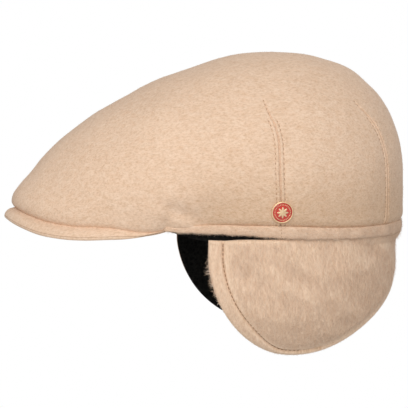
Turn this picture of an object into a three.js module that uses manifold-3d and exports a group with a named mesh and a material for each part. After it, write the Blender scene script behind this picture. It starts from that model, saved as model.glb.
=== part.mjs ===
// A flat cap of soft wool cloth with a stiff peak and ear flaps that hang from the rim, in millimetres.
// The wearer looks along -Y, up is +Z and the wearer's left is +X. The origin is the middle of the head
// opening, level with the rim at the back of the head.
import * as THREE from "three";
import { mergeVertices } from "three/addons/utils/BufferGeometryUtils.js";
import Module from "manifold-3d";

const wasm = await Module();
wasm.setup();

// Gap between neighbouring pieces
const clearance = 0.3;

// Head opening, at the inside of the sweatband
const headLength = 200;
const headWidth = 161;

// The rim rises a little from the back to the temples, and much more over the forehead
const rimTempleRise = 2;
const rimForeheadRise = 18;

// Layers at the rim, from the head outwards
const sweatbandThickness = 1.2;
const liningThickness = 2.4;
const flapThickness = 1.8;
const bandThickness = 2.8;
const sweatbandHeight = 28;
const sweatbandDrop = 2.5;

// Turned hem that runs round the back from one end of the peak to the other
const bandHeight = 8.5;
const bandTailHeight = 3;
const bandTailLength = THREE.MathUtils.degToRad(36);
const bandBulge = 0.6;
const bandTurnIn = 1.5;

// Peak
const peakReach = 65.7;
const peakSideBulge = 21;
const peakFrontWidth = 50;
const peakEndAngle = THREE.MathUtils.degToRad(130.5);
const peakTipHeight = 9.8;
const peakSideHeight = -1.5;
const peakTopThickness = 4;
const peakUnderThickness = 2.7;
const peakEdgeRadius = 4;
const peakCurl = 2.4;

// Crown
const crownWall = 2.4;
const crownHeight = 127.8;
const crownPeakOfDomeY = 14;
const crownSideOverhang = 5;
const crownBackOverhang = 0.8;
const crownSetback = 6.2;
const crownLift = 0.6;
const crownNoseFullness = 0.16;
const crownWaistHeight = 0.3;

// The crown's outline from its lower edge to its top: rise is the share of its height, and front, back and
// width are shares of its reach from the top's own axis to the nose, to the back and to the sides.
const crownSections = [
  { rise: 0, front: 0.997, back: 0.99, width: 0.947 },
  { rise: 0.03, front: 1.003, back: 0.997, width: 0.965 },
  { rise: 0.08, front: 0.998, back: 0.998, width: 0.978 },
  { rise: 0.14, front: 0.977, back: 1, width: 0.99 },
  { rise: 0.22, front: 0.939, back: 1.001, width: 1 },
  { rise: 0.32, front: 0.884, back: 1.001, width: 0.995 },
  { rise: 0.42, front: 0.826, back: 0.99, width: 0.975 },
  { rise: 0.52, front: 0.75, back: 0.962, width: 0.935 },
  { rise: 0.62, front: 0.657, back: 0.915, width: 0.87 },
  { rise: 0.72, front: 0.547, back: 0.84, width: 0.78 },
  { rise: 0.82, front: 0.43, back: 0.72, width: 0.655 },
  { rise: 0.9, front: 0.306, back: 0.594, width: 0.515 },
  { rise: 0.96, front: 0.19, back: 0.4, width: 0.34 },
  { rise: 0.99, front: 0.103, back: 0.24, width: 0.185 },
  { rise: 1, front: 0, back: 0, width: 0 },
];

// Crease on each side where the peak pulls the crown in, as shares of the band's half length and of the
// crown's height
const crease = { lowY: -0.42, lowZ: 0.1, highY: -0.72, highZ: 0.23, halfWidth: 6, depth: 2.2 };

// Ear flaps: one piece from ear to ear, deepest under the ears
const flapDepth = 82;
const flapBackDepth = 28;
const flapFrontAngle = THREE.MathUtils.degToRad(114);
const flapLobeAngle = THREE.MathUtils.degToRad(70);
const flapCornerDepth = 16;
const flapRoundness = 2.3;
const flapFrontDrop = 4;
const flapTuck = 4;
const flapLean = 13;
const liningTuck = 7;
const liningInset = 1.2;

// Round badge on the wearer's left, through the crown's wall
const badgeAngle = THREE.MathUtils.degToRad(86.8);
const badgeRise = 0.094;
const badgeRadius = 7.6;
const badgeThickness = 1.3;
const badgeRimWidth = 0.9;
const badgeWell = 0.7;
const enamelClearance = 0.1;
const enamelDome = 0.25;
const rosetteRadius = 4.4;
const rosettePetals = 8;
const rosetteThickness = 0.35;
const postRadius = 0.8;
const clutchRadius = 4;
const clutchThickness = 1.5;

// Mesh fineness
const crownColumns = 80;
const crownRows = 12;
const rimColumns = 48;
const bandFrontColumns = 5;
const peakColumns = 36;
const flapColumns = 44;
const flapRows = 6;
const badgeColumns = 24;

// Offsets outwards from the inside of the sweatband
const liningInner = sweatbandThickness + clearance;
const liningOuter = liningInner + liningThickness;
const flapInner = liningOuter + clearance;
const flapOuter = flapInner + flapThickness;
const bandInner = flapOuter + clearance;
const bandOuter = bandInner + bandThickness;
const peakRootOffset = sweatbandThickness + clearance;
const bandHalfLength = headLength / 2 + bandOuter;
const bandHalfWidth = headWidth / 2 + bandOuter;

// Maths

function smooth(from, to, value) {
  return THREE.MathUtils.smoothstep(value, from, to);
}

// A smooth curve through one column of a table, against the rows' own position.
function curveThrough(rows, position, column) {
  const at = rows.map(position);
  const value = rows.map((row) => row[column]);
  const slope = value.map((v, i) => {
    const before = Math.max(0, i - 1);
    const after = Math.min(rows.length - 1, i + 1);
    return (value[after] - value[before]) / (at[after] - at[before]);
  });
  return (x) => {
    let i = 0;
    while (i < rows.length - 2 && x > at[i + 1]) i += 1;
    const span = at[i + 1] - at[i];
    const t = (x - at[i]) / span;
    const s = 1 - t;
    return (
      value[i] * s * s * (1 + 2 * t) +
      slope[i] * span * t * s * s +
      value[i + 1] * t * t * (3 - 2 * t) -
      slope[i + 1] * span * t * t * s
    );
  };
}

// A point round the head, 0 at the back and a half turn at the forehead, some way outside the sweatband.
function aroundHead(angle, offset) {
  const half = new THREE.Vector2(headWidth / 2, headLength / 2);
  const on = new THREE.Vector2(half.x * Math.sin(angle), half.y * Math.cos(angle));
  const normal = new THREE.Vector2(Math.sin(angle) / half.x, Math.cos(angle) / half.y).normalize();
  return on.addScaledVector(normal, offset);
}

function rimHeight(angle) {
  const forward = (1 - Math.cos(angle)) / 2;
  return rimTempleRise * forward + rimForeheadRise * forward ** 8;
}

function bandHeightAt(angle) {
  const tail = smooth(peakEndAngle - bandTailLength, peakEndAngle, Math.abs(angle));
  return THREE.MathUtils.lerp(bandHeight, bandTailHeight, tail);
}

// Peak

const peakEnd = aroundHead(peakEndAngle, bandOuter);
const peakTipY = -(bandHalfLength + peakReach);
const peakOutline = new THREE.CubicBezierCurve(
  new THREE.Vector2(0, peakTipY),
  new THREE.Vector2(peakFrontWidth, peakTipY),
  new THREE.Vector2(peakEnd.x + peakSideBulge, THREE.MathUtils.lerp(peakEnd.y, peakTipY, 0.47)),
  peakEnd,
);

// The peak's plan: side runs from -1 to 1 across it, and inward is the distance in from its outline.
function peakPlan(side, inward) {
  const along = Math.abs(side);
  const mirror = side < 0 ? -1 : 1;
  const outer = peakOutline.getPoint(along);
  const root = aroundHead(Math.PI - along * (Math.PI - peakEndAngle), peakRootOffset);
  const width = outer.distanceTo(root);
  const share = Math.min(1, inward / width);
  const at = outer.lerp(root, share);
  return { x: mirror * at.x, y: at.y, share, width };
}

function peakUnderHeight(side, inward) {
  const along = Math.abs(side);
  const { share } = peakPlan(side, inward);
  const arch = along < 0.55 ? Math.cos((Math.PI / 2) * (along / 0.55)) ** 2 : 0;
  const end = along > 0.55 ? ((along - 0.55) / 0.45) ** 3 : 0;
  const edge =
    peakSideHeight +
    (peakTipHeight - peakSideHeight) * arch +
    (rimHeight(peakEndAngle) - peakSideHeight) * end;
  const root = rimHeight(Math.PI - along * (Math.PI - peakEndAngle));
  return THREE.MathUtils.lerp(root, edge, (1 - share) ** peakCurl);
}

// The peak thins towards its two ends, where the band takes over.
function peakThinning(side) {
  const full = peakTopThickness + peakUnderThickness + clearance;
  return THREE.MathUtils.lerp(1, bandTailHeight / full, smooth(0.7, 1, Math.abs(side)));
}

// The peak's rounded edge, as a share of its thickness, grows square towards the two ends.
function peakRoll(side, inward) {
  const left = Math.max(0, 1 - inward / peakEdgeRadius);
  const round = Math.max(0.3, Math.sqrt(1 - left * left));
  return THREE.MathUtils.lerp(round, 1, smooth(0.75, 1, Math.abs(side)));
}

function peakLayers(side, inward) {
  const thin = peakThinning(side);
  const seam = peakUnderHeight(side, inward) + peakUnderThickness * thin;
  const roll = peakRoll(side, inward) * thin;
  return {
    bottom: seam - peakUnderThickness * roll,
    underTop: seam,
    topBottom: seam + clearance,
    top: seam + clearance + peakTopThickness * roll,
  };
}

// Crown

const crownFrontReach = crownPeakOfDomeY - (peakTipY + crownSetback);
const crownBackReach = bandHalfLength + crownBackOverhang - crownPeakOfDomeY;
const crownHalfWidth = bandHalfWidth + crownSideOverhang;

function climbOf(rise) {
  return 1 - Math.sqrt(1 - rise);
}

const frontShare = curveThrough(crownSections, (row) => climbOf(row.rise), "front");
const backShare = curveThrough(crownSections, (row) => climbOf(row.rise), "back");
const widthShare = curveThrough(crownSections, (row) => climbOf(row.rise), "width");

// The crown's oval at one level, before its lower edge is drawn in to the band and the peak.
function crownOval(turn, climb) {
  const along = Math.cos(turn);
  const middle = crownPeakOfDomeY * climb;
  const front = crownFrontReach * frontShare(climb) - (crownPeakOfDomeY - middle);
  const back = crownBackReach * backShare(climb) + (crownPeakOfDomeY - middle);
  const fullness = along < 0 ? 1 + crownNoseFullness * along * along : 1;
  return {
    x: crownHalfWidth * widthShare(climb) * Math.sin(turn) * fullness,
    y: middle + (along < 0 ? front : back) * along,
  };
}

function setbackAt(along) {
  return crownSetback * (1 - smooth(0.6, 1, along));
}

// The part of the peak's outline, set back, that lies at one Y.
function sideAt(y, inward) {
  let low = 0;
  let high = 1;
  for (let i = 0; i < 40; i += 1) {
    const middle = (low + high) / 2;
    const at = peakPlan(middle, setbackAt(middle) + inward);
    if (at.y < y) low = middle;
    else high = middle;
  }
  return (low + high) / 2;
}

// The crown's lower edge: on the band round the back and the sides, and on the peak in front.
function crownEdge(turn, inward) {
  const oval = crownOval(turn, 0);
  const mirror = Math.sin(turn) < 0 ? -1 : 1;
  const length = bandHalfLength - inward;
  const y = Math.cos(turn) < 0 ? oval.y : length * Math.cos(turn);
  if (y > peakEnd.y) {
    const x = (bandHalfWidth - inward) * Math.sqrt(Math.max(0, 1 - (y / length) ** 2));
    const angle = Math.acos(THREE.MathUtils.clamp(y / length, -1, 1));
    return new THREE.Vector3(mirror * x, y, rimHeight(angle) + bandHeightAt(angle) + crownLift);
  }
  const nose = peakTipY + crownSetback + inward;
  const side = sideAt(Math.max(y, nose), inward);
  const back = setbackAt(side) + inward;
  const at = peakPlan(side, back);
  return new THREE.Vector3(mirror * at.x, at.y, peakLayers(side, back).top + crownLift);
}

function creaseDepth(y, z) {
  const low = new THREE.Vector2(crease.lowY * bandHalfLength, crease.lowZ * crownHeight);
  const high = new THREE.Vector2(crease.highY * bandHalfLength, crease.highZ * crownHeight);
  const run = high.clone().sub(low);
  const from = new THREE.Vector2(y, z).sub(low);
  const along = THREE.MathUtils.clamp(from.dot(run) / run.lengthSq(), 0, 1);
  const off = from.addScaledVector(run, -along).length() / crease.halfWidth;
  return crease.depth * Math.exp(-off * off) * Math.sin(Math.PI * THREE.MathUtils.lerp(0.15, 0.9, along));
}

function crownOutside(turn, climb) {
  const rise = 1 - (1 - climb) ** 2;
  const edge = crownEdge(turn, 0);
  const low = crownOval(turn, 0);
  const level = crownOval(turn, climb);
  const drawn = 1 - smooth(0, crownWaistHeight, rise);
  const at = new THREE.Vector3(
    level.x + (edge.x - low.x) * drawn,
    level.y + (edge.y - low.y) * drawn,
    THREE.MathUtils.lerp(edge.z, crownHeight, rise),
  );
  at.x -= Math.sign(at.x) * creaseDepth(at.y, at.z) * (Math.abs(at.x) > bandHalfWidth / 3 ? 1 : 0);
  return at;
}

function crownNormal(turn, climb) {
  if (climb > 0.999) return new THREE.Vector3(0, 0, 1);
  const step = 0.004;
  const round = crownOutside(turn + step, climb).sub(crownOutside(turn - step, climb));
  const up = crownOutside(turn, climb + step).sub(crownOutside(turn, Math.max(0, climb - step)));
  return up.cross(round).normalize();
}

function crownInside(turn, climb) {
  if (climb === 0) return crownEdge(turn, crownWall);
  return crownOutside(turn, climb).addScaledVector(crownNormal(turn, climb), -crownWall);
}

// Ear flaps

function flapDepthAt(angle) {
  const away = Math.abs(angle);
  if (away > flapLobeAngle) {
    const corner = (1 - (flapCornerDepth / flapDepth) ** flapRoundness) ** (1 / flapRoundness);
    const share = (corner * (away - flapLobeAngle)) / (flapFrontAngle - flapLobeAngle);
    return flapDepth * (1 - share ** flapRoundness) ** (1 / flapRoundness);
  }
  const share = (flapLobeAngle - away) / flapLobeAngle;
  return THREE.MathUtils.lerp(flapBackDepth, flapDepth, Math.cos((Math.PI / 2) * share) ** 2.2);
}

// The flap's cloth stops just under the band at the temples, and runs up behind it further back.
function flapTopAt(angle) {
  const forward = smooth(flapLobeAngle, flapFrontAngle, Math.abs(angle));
  return rimHeight(angle) + THREE.MathUtils.lerp(flapTuck, -flapFrontDrop, forward);
}

function flapPoint(angle, height, offset) {
  const deep = Math.max(0, rimHeight(angle) - height) / flapDepth;
  const at = aroundHead(angle, offset - flapLean * deep * deep);
  return new THREE.Vector3(at.x, at.y, height);
}

// Meshes

function solidFrom(points, triangles) {
  const geometry = new THREE.BufferGeometry();
  geometry.setAttribute("position", new THREE.Float32BufferAttribute(points.flatMap((p) => p.toArray()), 3));
  const kept = triangles.filter(([a, b, c]) => {
    const apart = (i, j) => points[i].distanceToSquared(points[j]) > 1e-8;
    return apart(a, b) && apart(b, c) && apart(a, c);
  });
  const volume = kept.reduce(
    (sum, [a, b, c]) => sum + points[a].dot(new THREE.Vector3().crossVectors(points[b], points[c])),
    0,
  );
  geometry.setIndex(kept.flatMap(([a, b, c]) => (volume > 0 ? [a, b, c] : [a, c, b])));
  return mergeVertices(geometry, 1e-4);
}

// A solid through closed sections, joined end to end or capped at both ends.
function loft(sections, joined) {
  const count = sections[0].length;
  const points = sections.flat();
  const triangles = [];
  const bands = joined ? sections.length : sections.length - 1;
  for (let i = 0; i < bands; i += 1) {
    for (let j = 0; j < count; j += 1) {
      const a = i * count + j;
      const b = i * count + ((j + 1) % count);
      const c = ((i + 1) % sections.length) * count + j;
      const d = ((i + 1) % sections.length) * count + ((j + 1) % count);
      triangles.push([a, b, d], [a, d, c]);
    }
  }
  if (!joined) {
    const last = (sections.length - 1) * count;
    for (let j = 1; j < count - 1; j += 1) {
      triangles.push([0, j + 1, j], [last, last + j, last + j + 1]);
    }
  }
  return solidFrom(points, triangles);
}

// A wall's section from its outer and inner lines, which run the same way.
function wallSection(outer, inner) {
  return [...outer, ...inner.slice().reverse()];
}

function steps(count, from, to) {
  return Array.from({ length: count + 1 }, (_, i) => THREE.MathUtils.lerp(from, to, i / count));
}

function crownGeometry() {
  const turns = steps(crownColumns, 0, 2 * Math.PI).slice(0, -1);
  const climbs = steps(crownRows, 0, 1);
  return loft(
    turns.map((turn) =>
      wallSection(
        climbs.map((climb) => crownOutside(turn, climb)),
        climbs.map((climb) => crownInside(turn, climb)),
      ),
    ),
    true,
  );
}

// The band lies against the flap, and against the sweatband between the flap and the peak.
function bandGeometry() {
  const end = peakEndAngle - clearance / bandHalfWidth;
  const flapEdge = flapFrontAngle + (2 * clearance) / bandHalfWidth;
  const turnIn = flapEdge + bandTurnIn / bandHalfWidth;
  const front = steps(bandFrontColumns, turnIn, end);
  const angles = [
    ...front.map((angle) => -angle).reverse(),
    ...steps(rimColumns, -flapEdge, flapEdge),
    ...front,
  ];
  const sections = angles.map((angle) => {
    const low = rimHeight(angle);
    const high = low + bandHeightAt(angle);
    const inner = Math.abs(angle) < turnIn ? bandInner : liningInner;
    const profile = [
      [inner, low + clearance],
      [THREE.MathUtils.lerp(bandInner, bandOuter, 0.5), low],
      [bandOuter, THREE.MathUtils.lerp(low, high, 0.2)],
      [bandOuter + bandBulge, THREE.MathUtils.lerp(low, high, 0.5)],
      [bandOuter, THREE.MathUtils.lerp(low, high, 0.85)],
      [bandOuter - bandBulge, high],
      [inner, high],
    ];
    return profile.map(([offset, height]) => {
      const at = aroundHead(angle, offset);
      return new THREE.Vector3(at.x, at.y, height);
    });
  });
  return loft(sections, false);
}

// The sweatband's lower edge shows under the hem, and meets the peak's root over the forehead.
function sweatbandBottom(angle) {
  const away = Math.PI - Math.abs(Math.PI - angle);
  return rimHeight(angle) - sweatbandDrop * (1 - smooth(flapFrontAngle, peakEndAngle, away));
}

function sweatbandGeometry() {
  const angles = steps(rimColumns, 0, 2 * Math.PI).slice(0, -1);
  return loft(
    angles.map((angle) =>
      [0, sweatbandThickness].flatMap((offset, inside) => {
        const at = aroundHead(angle, offset);
        const low = new THREE.Vector3(at.x, at.y, sweatbandBottom(angle));
        const high = new THREE.Vector3(at.x, at.y, rimHeight(angle) + sweatbandHeight);
        return inside ? [high, low] : [low, high];
      }),
    ),
    true,
  );
}

function peakGeometry(low, high) {
  const inwards = [0, 0.06, 0.25, 0.6, 1].map((share) => share * peakEdgeRadius);
  const shares = [0.25, 0.5, 0.75, 1];
  const sections = steps(peakColumns, -1, 1).map((side) => {
    const { width } = peakPlan(side, 0);
    const edge = inwards.map((inward) => Math.min(inward, width * 0.6));
    const last = edge[edge.length - 1];
    const line = [...edge, ...shares.map((share) => THREE.MathUtils.lerp(last, width, share))];
    const along = (key) =>
      line.map((inward) => {
        const at = peakPlan(side, inward);
        return new THREE.Vector3(at.x, at.y, peakLayers(side, inward)[key]);
      });
    return wallSection(along(high), along(low));
  });
  return loft(sections, false);
}

// Columns crowd towards the flap's front edges, where its outline is steep.
function flapAngles(reach) {
  return steps(flapColumns, -Math.PI / 2, Math.PI / 2).map((t) => reach * Math.sin(t));
}

function flapGeometry(inner, outer, topAt, inset) {
  const reach = flapFrontAngle - inset / bandHalfWidth;
  return loft(
    flapAngles(reach).map((angle) => {
      const top = topAt(angle);
      const bottom = rimHeight(angle) - flapDepthAt(angle) + inset;
      const heights = steps(flapRows, top, bottom);
      return wallSection(
        heights.map((height) => flapPoint(angle, height, outer)),
        heights.map((height) => flapPoint(angle, height, inner)),
      );
    }),
    false,
  );
}

// Badge, made flat with its face towards +Z, its back at 0 and its post below

function turned(profile, segments) {
  return new THREE.LatheGeometry(
    profile.map(([r, z]) => new THREE.Vector2(r, z)),
    segments,
  ).rotateX(Math.PI / 2);
}

function badgeBodyGeometry() {
  const wellRadius = badgeRadius - badgeRimWidth;
  const wallBack = -(crownWall + 5 * clearance);
  return turned(
    [
      [0, wallBack - clutchThickness],
      [clutchRadius, wallBack - clutchThickness],
      [clutchRadius, wallBack],
      [postRadius, wallBack],
      [postRadius, 0],
      [badgeRadius * 0.94, 0],
      [badgeRadius, badgeThickness * 0.3],
      [badgeRadius, badgeThickness * 0.7],
      [badgeRadius * 0.96, badgeThickness],
      [wellRadius, badgeThickness],
      [wellRadius, badgeThickness - badgeWell],
      [0, badgeThickness - badgeWell],
    ],
    badgeColumns,
  );
}

function enamelGeometry() {
  const radius = badgeRadius - badgeRimWidth - enamelClearance;
  const low = badgeThickness - badgeWell + enamelClearance;
  const high = badgeThickness - enamelClearance;
  return turned(
    [
      [0, low],
      [radius, low],
      [radius, high],
      [radius * 0.6, high + enamelDome * 0.6],
      [0, high + enamelDome],
    ],
    badgeColumns,
  );
}

function rosetteGeometry() {
  const outline = new THREE.Shape(
    steps(rosettePetals * 6, 0, 2 * Math.PI)
      .slice(0, -1)
      .map((t) => {
        const r = rosetteRadius * (0.78 + 0.22 * Math.cos(rosettePetals * t));
        return new THREE.Vector2(r * Math.cos(t), r * Math.sin(t));
      }),
  );
  const low = badgeThickness + enamelDome;
  return new THREE.ExtrudeGeometry(outline, {
    depth: rosetteThickness,
    bevelEnabled: false,
  }).translate(0, 0, low);
}

// Booleans

function manifoldOf(geometry) {
  const bare = geometry.clone();
  bare.deleteAttribute("normal");
  bare.deleteAttribute("uv");
  const merged = mergeVertices(bare, 1e-4);
  return new wasm.Manifold(
    new wasm.Mesh({
      numProp: 3,
      vertProperties: merged.attributes.position.array,
      triVerts: new Uint32Array(merged.index.array),
    }),
  );
}

function geometryOf(solid) {
  const mesh = solid.getMesh();
  const geometry = new THREE.BufferGeometry();
  geometry.setAttribute("position", new THREE.Float32BufferAttribute(mesh.vertProperties, 3));
  return geometry.setIndex(new THREE.BufferAttribute(mesh.triVerts, 1));
}

// Assembly

const wool = { color: 0xe4c6a8, roughness: 0.95, metalness: 0 };
const fleece = { color: 0x0b0b0a, roughness: 1, metalness: 0 };
const gold = { color: 0xd9b27a, roughness: 0.35, metalness: 1 };
const enamel = { color: 0xb8321f, roughness: 0.25, metalness: 0 };

const cap = new THREE.Group();

function addPiece(parent, name, geometry, look) {
  const mesh = new THREE.Mesh(geometry, new THREE.MeshStandardMaterial(look));
  mesh.name = name;
  parent.add(mesh);
}

const badgeClimb = climbOf(badgeRise);
const badgeNormal = crownNormal(badgeAngle, badgeClimb);
const badge = new THREE.Group();
badge.position.copy(crownOutside(badgeAngle, badgeClimb)).addScaledVector(badgeNormal, clearance);
badge.quaternion.setFromUnitVectors(new THREE.Vector3(0, 0, 1), badgeNormal);
badge.updateMatrix();

const postHole = new THREE.CylinderGeometry(postRadius + clearance, postRadius + clearance, 4 * crownWall, 16)
  .rotateX(Math.PI / 2)
  .applyMatrix4(badge.matrix);

addPiece(cap, "crown", geometryOf(manifoldOf(crownGeometry()).subtract(manifoldOf(postHole))), wool);
addPiece(cap, "hem_band", bandGeometry(), wool);
addPiece(cap, "peak_top", peakGeometry("topBottom", "top"), wool);
addPiece(cap, "peak_under", peakGeometry("bottom", "underTop"), wool);
addPiece(cap, "sweatband", sweatbandGeometry(), fleece);
addPiece(cap, "ear_flap", flapGeometry(flapInner, flapOuter, flapTopAt, 0), wool);
addPiece(
  cap,
  "flap_lining",
  flapGeometry(liningInner, liningOuter, (angle) => rimHeight(angle) + liningTuck, liningInset),
  fleece,
);
addPiece(badge, "badge_body", badgeBodyGeometry(), gold);
addPiece(badge, "badge_enamel", enamelGeometry(), enamel);
addPiece(badge, "badge_rosette", rosetteGeometry(), gold);
cap.add(badge);

export default cap;
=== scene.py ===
"""Looks of the flat cap: brushed wool over the crown, hem and peak, long-napped ear flaps lined with
black fleece, and an enamel badge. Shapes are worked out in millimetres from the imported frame."""

import math
from math import pi, radians
from types import SimpleNamespace

import bmesh
import bpy
import numpy as np
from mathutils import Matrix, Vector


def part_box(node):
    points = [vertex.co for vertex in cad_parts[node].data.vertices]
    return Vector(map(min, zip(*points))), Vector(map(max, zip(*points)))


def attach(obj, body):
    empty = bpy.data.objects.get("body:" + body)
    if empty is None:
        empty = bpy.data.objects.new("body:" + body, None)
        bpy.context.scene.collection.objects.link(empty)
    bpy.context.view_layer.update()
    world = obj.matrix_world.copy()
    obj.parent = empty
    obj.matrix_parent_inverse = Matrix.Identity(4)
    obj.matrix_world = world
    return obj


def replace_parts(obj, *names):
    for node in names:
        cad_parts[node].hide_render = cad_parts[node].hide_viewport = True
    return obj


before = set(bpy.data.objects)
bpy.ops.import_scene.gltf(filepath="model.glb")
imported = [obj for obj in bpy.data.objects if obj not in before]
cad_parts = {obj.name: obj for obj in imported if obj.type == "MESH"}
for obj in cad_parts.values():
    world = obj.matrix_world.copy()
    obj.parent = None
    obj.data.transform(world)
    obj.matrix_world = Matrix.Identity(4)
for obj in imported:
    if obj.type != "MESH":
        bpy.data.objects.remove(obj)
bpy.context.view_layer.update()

MM = 0.001


def box_of(node):
    """The lowest and highest corner of a CAD node, in millimetres."""
    low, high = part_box(node)
    return np.array(low) / MM, np.array(high) / MM


# Sizes that the frame gives
sweatband_high = box_of("sweatband")[1]
crown_high = box_of("crown")[1]
peak_low = box_of("peak_top")[0]
flap_low = box_of("ear_flap")[0]

# Layers at the rim, from the head outwards
CLEARANCE = 0.3
SWEATBAND_THICKNESS = 1.2
LINING_THICKNESS = 2.4
FLAP_THICKNESS = 1.8
BAND_THICKNESS = 2.8
SWEATBAND_DROP = 2.5
SWEATBAND_HEIGHT = 28

HEAD_HALF = sweatband_high[:2] - SWEATBAND_THICKNESS
LINING_INNER = SWEATBAND_THICKNESS + CLEARANCE
LINING_OUTER = LINING_INNER + LINING_THICKNESS
FLAP_INNER = LINING_OUTER + CLEARANCE
FLAP_OUTER = FLAP_INNER + FLAP_THICKNESS
BAND_INNER = FLAP_OUTER + CLEARANCE
BAND_OUTER = BAND_INNER + BAND_THICKNESS
BAND_HALF = HEAD_HALF + BAND_OUTER

# Rim and hem
RIM_TEMPLE_RISE = 2
RIM_FOREHEAD_RISE = 18
BAND_TAIL_HEIGHT = 3
BAND_BULGE = 0.8
BAND_COLUMNS = 321
BAND_ROLL_ROWS = 25

# Waves of the hem's lower edge and of its bulge. Columns: height, waves in a full turn, start
HEM_EDGE_WAVES = ((0.13, 37, 0.6), (0.091, 61, 0), (0.078, 97, 2))
HEM_BULGE_WAVES = ((0.25, 23, 0), (0.2, 41, 1))

# The hem round the head. Columns: degrees from the back, then its lower and its upper edge over the rim
HEM_EDGES = np.array([
    [0, 1, 9.2], [15, 0.8, 9], [41, 0, 7.5], [55, 0.1, 7.4], [67, 0.5, 8],
    [87, 1.9, 9.7], [98, 3.5, 9.9], [110, 3.8, 9.4], [122, 3.2, 6.7], [130.5, 2.2, 4.4],
])
# The angles over which the hem becomes flush with the crown
HEM_FLUSH_SPAN = (radians(101), radians(119))

# Peak. The values named FROM, TO and SPAN are shares of the way from its tip to its ends
PEAK_TIP_Y = peak_low[1]
PEAK_SIDE_BULGE = 21
PEAK_FRONT_WIDTH = 50
PEAK_END = radians(130.5)
PEAK_TIP_HEIGHT = 9.8
PEAK_SIDE_HEIGHT = -1.5
PEAK_ARCH_TO = 0.55
PEAK_THIN_FROM = 0.7
PEAK_ROLL_TO = 0.75
PEAK_TOP_THICKNESS = 4
PEAK_UNDER_THICKNESS = 2.7
PEAK_EDGE_RADIUS = 4
PEAK_CURL = 2.4
PEAK_UNDER_LIFT = 1
PEAK_LIFT_SPAN = (0.2, 0.45)
PEAK_SEAM_DEPTH = 1.6
PEAK_SEAM_GAP = 0.35
PEAK_LUMPS = 0.2
PEAK_COLUMNS = 241

# Rounded lip under the peak's edge seam
LIP_RISE = 1.2
LIP_DEPTH = 3.3
LIP_WIDTH = 2.4

# Crown
CROWN_WALL = 2.4
CROWN_TOP = crown_high[2]
CROWN_AXIS_Y = 14
CROWN_SIDE_OVERHANG = 5
CROWN_BACK_OVERHANG = 0.2
CROWN_SETBACK = 6.2
CROWN_LIFT = 0.6
CROWN_NOSE_FULLNESS = 0.16
CROWN_WAIST = 0.3
CROWN_CORNER_WAIST = 0.2
CROWN_ROWS = 105
CROWN_COLUMNS = 460
CROWN_LUMPS = 0.5
LINING_CLOTH = 0.5
CORNER_FILL = 8
CORNER_FILL_LENGTH = 20
PEAK_CORNER = radians(115)
PEAK_CORNER_SPREAD = radians(16)

# Columns: share of the rise, then shares of the reach to the front, to the back and to the sides
CROWN_SECTIONS = np.array([
    [0, 0.997, 0.99, 0.947], [0.03, 1.003, 0.997, 0.965], [0.08, 0.998, 0.998, 0.978],
    [0.14, 0.973, 1, 0.99], [0.22, 0.932, 1.001, 1], [0.32, 0.884, 1.001, 0.995],
    [0.42, 0.826, 0.99, 0.975], [0.52, 0.75, 0.962, 0.935], [0.62, 0.666, 0.915, 0.87],
    [0.72, 0.558, 0.84, 0.78], [0.82, 0.44, 0.72, 0.655], [0.9, 0.306, 0.594, 0.515],
    [0.96, 0.19, 0.4, 0.34], [0.99, 0.103, 0.24, 0.185], [1, 0, 0, 0],
])

# Crease on each side where the peak pulls the crown in: y as a share of the band's half length, z as a
# share of the crown's height
CREASE_LOW = (-0.42, 0.1)
CREASE_HIGH = (-0.72, 0.23)
CREASE_HALF_WIDTH = 4.6
CREASE_DEPTH = 2
CREASE_RIDGE = 1.4
CREASE_RIDGE_DROP = 8
CREASE_FADE = (0.15, 0.9)

# Darts of the crown, the same on both sides. Columns: share of the rise, degrees round from the back
SIDE_DART = np.array([
    [0, 86.6], [0.08, 87.1], [0.16, 87.6], [0.31, 88.6], [0.48, 89.3],
    [0.53, 89.9], [0.59, 90.9], [0.66, 93.2], [0.7, 94.7], [0.755, 96.9],
])
REAR_DART = np.array([
    [0, 37], [0.14, 36.6], [0.32, 37], [0.4, 37.5], [0.47, 38.5],
    [0.53, 39.9], [0.6, 41.9], [0.64, 44.3], [0.69, 47.1], [0.74, 49.6],
])
DART_SPREAD = radians(20)
DART_FADE = 0.1
DART_ROWS_TOP = 0.63
DART_GROOVE_WIDTH = 0.5
DART_GROOVE_DEPTH = 1.3
REAR_DART_DEEPER = 1.7
REAR_DART_WIDER = 1.3

# Forms beside a dart: height, distance from its seam and width
DART_PUFF = (0.35, 1.5, 0.9)
DART_ROW = (-0.5, 2.9, 0.45)
HEM_GROOVE_DEPTH = 0.75
HEM_GROOVE_WIDTH = 1.3

# Stitches: from one to the next, length and radius
DART_STITCH = (3.4, 2.3, 0.2)
HEM_STITCH = (2.2, 1.5, 0.2)
FLAP_STITCH = (3.1, 2.9, 0.3)

# Ear flaps
FLAP_BACK_DEPTH = 28
FLAP_FRONT = radians(114)
FLAP_LOBE = radians(75)
FLAP_CORNER_DEPTH = 16
FLAP_ROUNDNESS = 2.3
FLAP_LEAN = 24
FLAP_LEAN_POWER = 3.4
FLAP_BACK_TUCK = 2.3
FLAP_BACK_CURVE = 1.36
FLAP_EDGE_RADIUS = 2.2
FLAP_TOP = np.array([[0, 4], [64, 4], [76, 2.3], [84, 0.9], [98, 0.1], [109.5, -0.9], [114, -1.1]])
FLAP_SEAM_INSET = (3.2, 10)
FLAP_SEAM_TURN = (radians(81), radians(103))
FLAP_SEAM_DEPTH = 1.7
FLAP_SEAM_WIDTH = 0.65
FLAP_STITCHES_FROM = radians(69)
FLAP_PUFF = 1.5
FLAP_GROOVE_LIMIT = 1.4
FLAP_CLOTH_INSET = (0.8, 0.2)
LINING_TUCK = 7
LINING_INSET = (0.1, 0.6)
LINING_EDGE_RADIUS = 1.8

# The far flap: the angles where it starts to differ, by what share it is shorter, and its cloth's gap
FAR_SIDE = (radians(60), radians(95))
FAR_FLAP_SHORTER = 0.09
FAR_CLOTH_GAP = 1.2

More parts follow.
